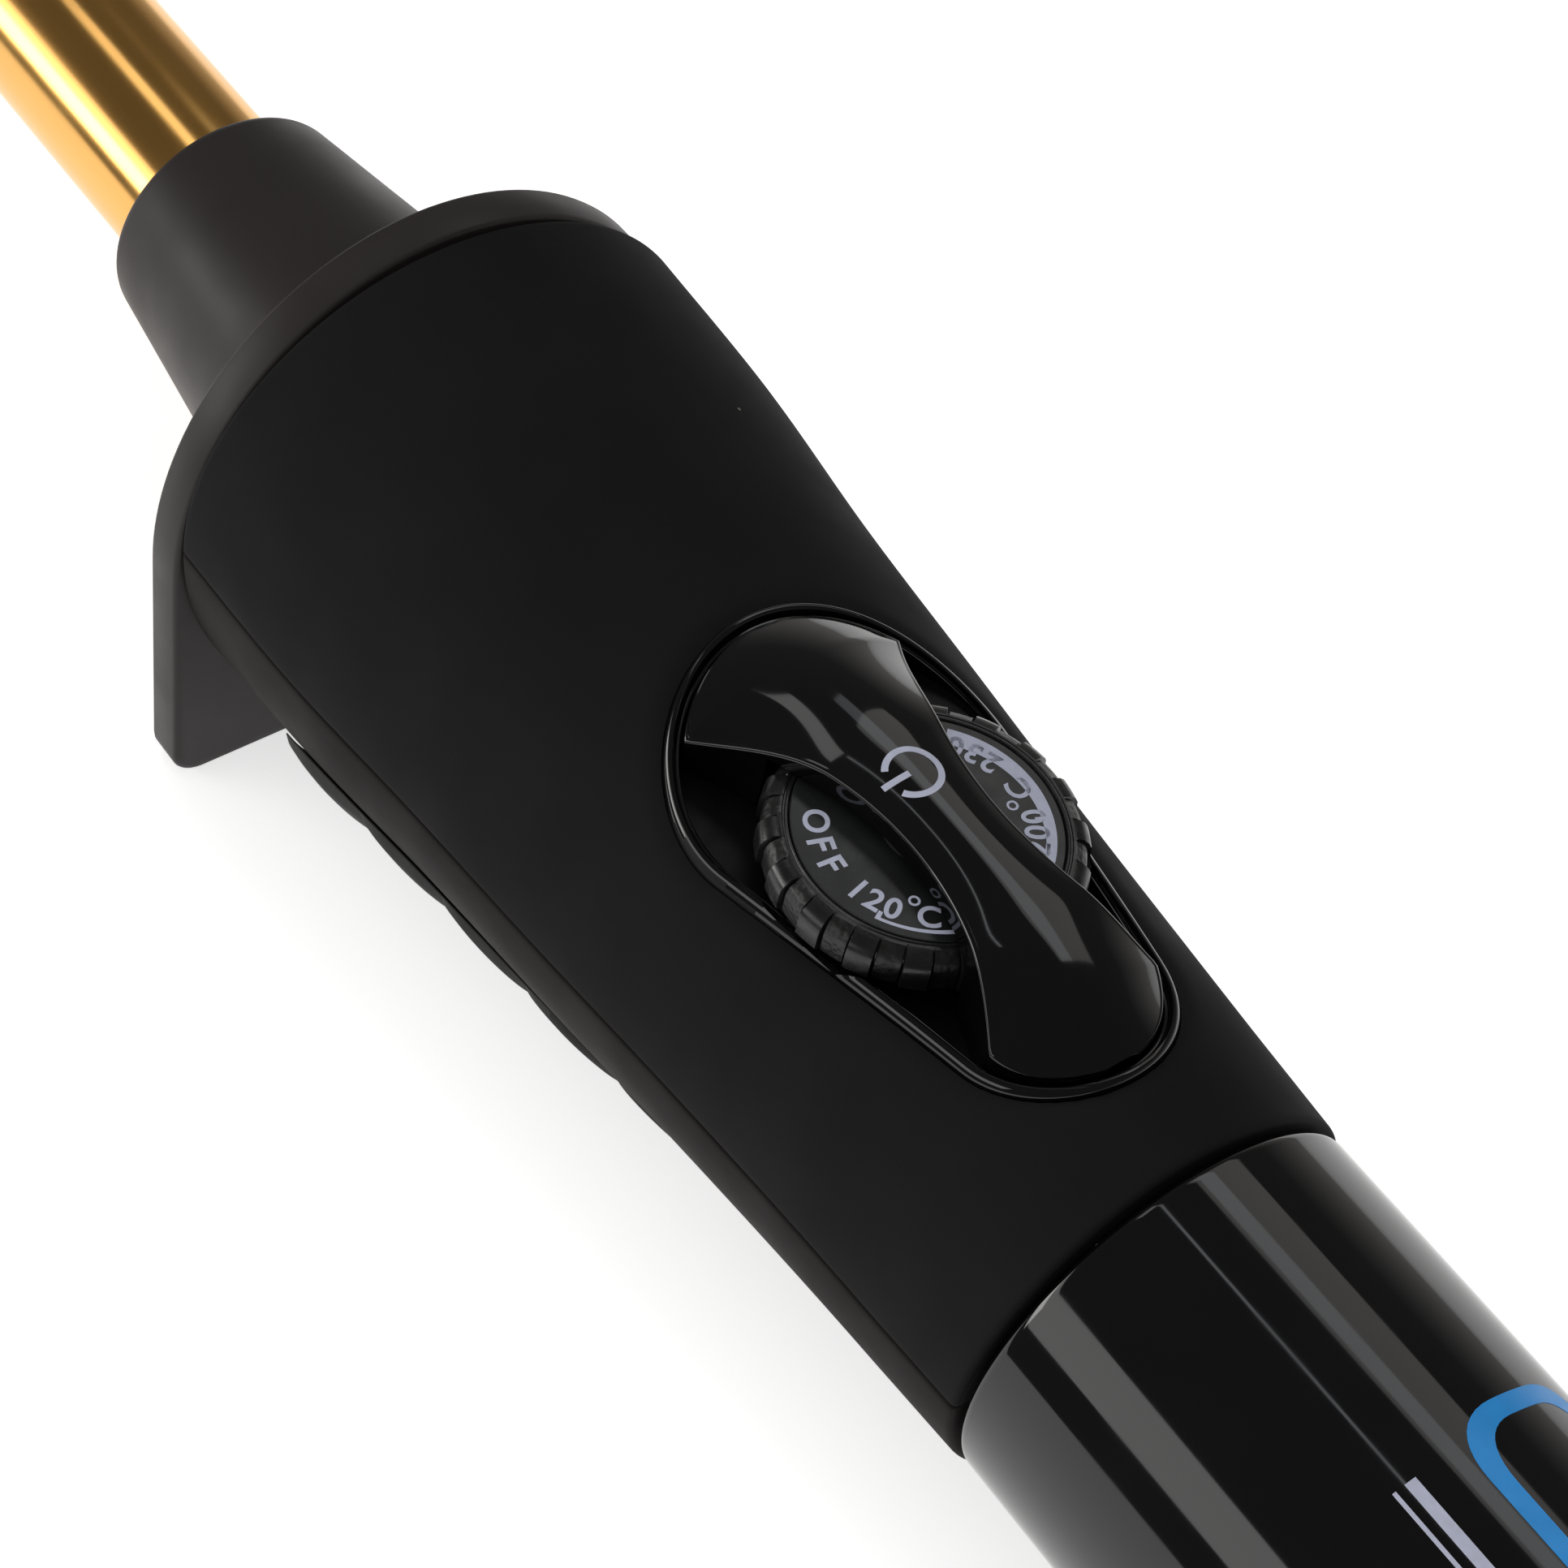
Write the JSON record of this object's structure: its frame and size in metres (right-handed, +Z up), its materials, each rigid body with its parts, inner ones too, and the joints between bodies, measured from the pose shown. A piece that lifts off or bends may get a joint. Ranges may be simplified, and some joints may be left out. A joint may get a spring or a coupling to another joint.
{
  "type": "curling iron",
  "caption": "Slim curling iron: metal-coated barrel, tapered collar with stand plate, flared soft-touch grip with finger pad, thumb dial under a bridge, gloss rear tube, swivel outlet.",
  "frame": {"origin": "centre of the stand plate's sole, on the table that the tool rests on", "axes": "+X forward towards the barrel's tip, +Y to the left of someone holding the tool, +Z up; the tool leans back on its rear tube by 2.70 degrees"},
  "size_m": [0.3998, 0.0486, 0.0504],
  "materials": {
    "soft_black": "soft-touch matte",
    "warm_black": "satin moulded",
    "pad_rubber": "matte rubber",
    "gloss_black": "high gloss",
    "dial_black": "satin with glossy lands",
    "label_face": "smooth satin",
    "print_white": "pad-printed ink",
    "print_blue": "pad-printed ink",
    "gold_barrel": "polished hard coat",
    "heater_metal": "extruded",
    "electrode_metal": "rolled",
    "heater_ceramic": "sintered",
    "film_amber": "clear amber film",
    "sleeve_white": "ceramic fibre board",
    "spring_steel": "bright",
    "screw_steel": "zinc plated",
    "contact_brass": "bright",
    "sensor_red": "dipped",
    "board_green": "solder mask",
    "component_black": "moulded epoxy",
    "capacitor_yellow": "box case",
    "capacitor_blue": "sleeved",
    "resistor_body": "lacquered",
    "pot_metal": "plated",
    "wire_white": "sheath",
    "wire_yellow": "sheath",
    "wire_brown": "sheath",
    "carrier_white": "moulded"
  },
  "bodies": {
    "root": {"barrel": "gold_barrel", "barrel_tip": "warm_black", "insulating_sleeve": "sleeve_white", "heater_block_upper": "heater_metal", "heater_block_lower": "heater_metal", "ptc_plates": "heater_ceramic", "electrode_strips": "electrode_metal", "insulating_film": "film_amber", "spreader_spring": "spring_steel", "thermistor": "sensor_red", "thermal_fuse": "electrode_metal", "heater_leads": "wire_white", "sensor_leads": "wire_yellow", "collar_plate": "warm_black", "barrel_screws": "screw_steel", "upper_shell": "soft_black", "lower_shell": "warm_black", "finger_pad": "pad_rubber", "handle_screws": "screw_steel", "dial_tray": "gloss_black", "dial_bridge": "gloss_black", "bridge_screws": "screw_steel", "potentiometer": "pot_metal", "circuit_board": "board_green", "triac": "component_black", "film_capacitor": "capacitor_yellow", "electrolytic_capacitor": "capacitor_blue", "control_chip": "component_black", "resistors": "resistor_body", "board_screws": "screw_steel", "supply_leads": "wire_brown", "rear_tube": "gloss_black", "rear_cap": "gloss_black", "contact_carrier": "carrier_white", "contact_springs": "contact_brass"},
    "dial": {"temperature_dial": "dial_black", "dial_label": "label_face", "potentiometer_shaft": "pot_metal"},
    "swivel": {"cord_outlet": "warm_black", "slip_rings": "contact_brass", "retaining_clip": "spring_steel"}
  },
  "joints": [
    {"name": "dial_turn", "type": "hinge", "parent": "root", "child": "dial", "pos_m": [-0.06563, 0, 0.04163], "axis": [-0.0836, 0, 0.9965], "range_deg": [-270, 0]},
    {"name": "cord_swivel", "type": "hinge", "parent": "root", "child": "swivel", "pos_m": [-0.18309, 0, 0.01671], "axis": [0.9989, 0, 0.047], "continuous": true}
  ]
}
